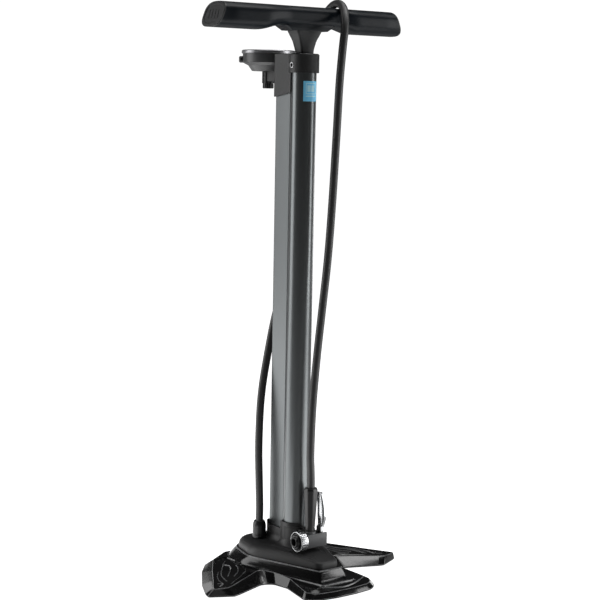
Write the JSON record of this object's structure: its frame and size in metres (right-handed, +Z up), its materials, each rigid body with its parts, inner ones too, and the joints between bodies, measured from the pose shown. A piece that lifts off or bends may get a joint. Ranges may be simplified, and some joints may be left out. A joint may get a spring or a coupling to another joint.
{
  "type": "floor bicycle pump",
  "caption": "Upright floor pump with a three-footed base, tall barrel with a rear channel, T handle, top gauge, and a hose looped over the handle to a lever valve head.",
  "frame": {"origin": "on the floor, on the barrel's axis", "axes": "+Z up along the barrel, +X along the handle, +Y towards the gauge"},
  "size_m": [0.2778, 0.211, 0.6907],
  "materials": {
    "gloss_black": "glossy moulded",
    "dark_grey_plastic": "fine matte grain",
    "black_plastic": "satin moulded",
    "head_grey": "fine matte grain",
    "grey_aluminium": "satin anodised",
    "aluminium_plain": "turned",
    "steel": "zinc plated",
    "chrome": "polished",
    "brass": "turned",
    "nylon": "natural",
    "black_rubber": "moulded",
    "hose_rubber": "satin",
    "blue_label": "printed film",
    "dial_white": "printed",
    "needle_red": "painted",
    "clear_lens": "clear",
    "handle_black": "satin moulded",
    "neck_grey": "fine matte grain"
  },
  "bodies": {
    "pump": {"base_frame": "gloss_black", "ballast_plate": "steel", "pad_left": "black_rubber", "pad_right": "black_rubber", "pad_front": "black_rubber", "base_screws": "steel", "pedestal_cover": "dark_grey_plastic", "head_cradle": "dark_grey_plastic", "barrel": "grey_aluminium", "barrel_label": "blue_label", "bottom_plug": "aluminium_plain", "plug_seal": "black_rubber", "valve_spring": "steel", "air_manifold": "black_plastic", "gauge_pipe": "nylon", "pipe_elbow": "brass", "top_collar": "dark_grey_plastic", "collar_screws": "chrome", "guide_bush": "nylon", "gauge_housing": "black_plastic", "gauge_dial": "dial_white", "bourdon_tube": "brass", "gauge_lens": "clear_lens", "gauge_bezel": "chrome", "gauge_nut": "black_plastic", "button_spring": "steel", "hose_gland": "black_plastic", "hose": "hose_rubber", "hose_connector": "black_plastic", "head_body": "head_grey", "head_ring": "chrome", "head_cap": "black_plastic", "head_gasket": "black_rubber", "lever_pin": "steel"},
    "piston": {"piston_rod": "chrome", "piston_head": "nylon", "piston_cup": "black_rubber", "piston_nut": "steel", "rod_bumper": "black_rubber", "rod_nut": "steel"},
    "handle": {"handle_bar": "handle_black", "handle_neck": "neck_grey", "end_cap_left": "neck_grey", "end_cap_right": "neck_grey"},
    "needle": {"gauge_needle": "needle_red"},
    "button": {"release_button": "black_plastic"},
    "poppet": {"valve_poppet": "nylon"},
    "plunger": {"head_plunger": "nylon"},
    "lever": {"head_lever": "chrome"}
  },
  "joints": [
    {"name": "stroke", "type": "slide", "parent": "pump", "child": "piston", "axis": [0, 0, 1], "range_m": [0, 0.5], "deforming": ["hose"]},
    {"name": "handle_turn", "type": "hinge", "parent": "piston", "child": "handle", "pos_m": [0, 0, 0.64], "axis": [0, 0, 1], "continuous": true},
    {"name": "lever_swing", "type": "hinge", "parent": "pump", "child": "lever", "pos_m": [0.012, -0.03, 0.05], "axis": [0, 1, 0], "range_deg": [0, 90]},
    {"name": "plunger_slide", "type": "slide", "parent": "pump", "child": "plunger", "axis": [-1, 0, 0], "range_m": [0, 0.0008]},
    {"name": "needle_turn", "type": "hinge", "parent": "pump", "child": "needle", "pos_m": [0, 0.073, 0.626], "axis": [0, 0, -1], "range_deg": [0, 270]},
    {"name": "button_press", "type": "slide", "parent": "pump", "child": "button", "axis": [0.8192, -0.5736, 0], "range_m": [0, 0.0025], "stiffness_N_per_m": 400, "springref_m": -0.0005, "deforming": ["button_spring"]},
    {"name": "check_valve", "type": "slide", "parent": "pump", "child": "poppet", "axis": [0, 0, -1], "range_m": [0, 0.0015], "stiffness_N_per_m": 150, "springref_m": -0.001, "deforming": ["valve_spring"]}
  ],
  "couplings": [
    {"joint": "plunger_slide", "follows": "lever_swing", "m_per_rad": 0.0005093}
  ]
}
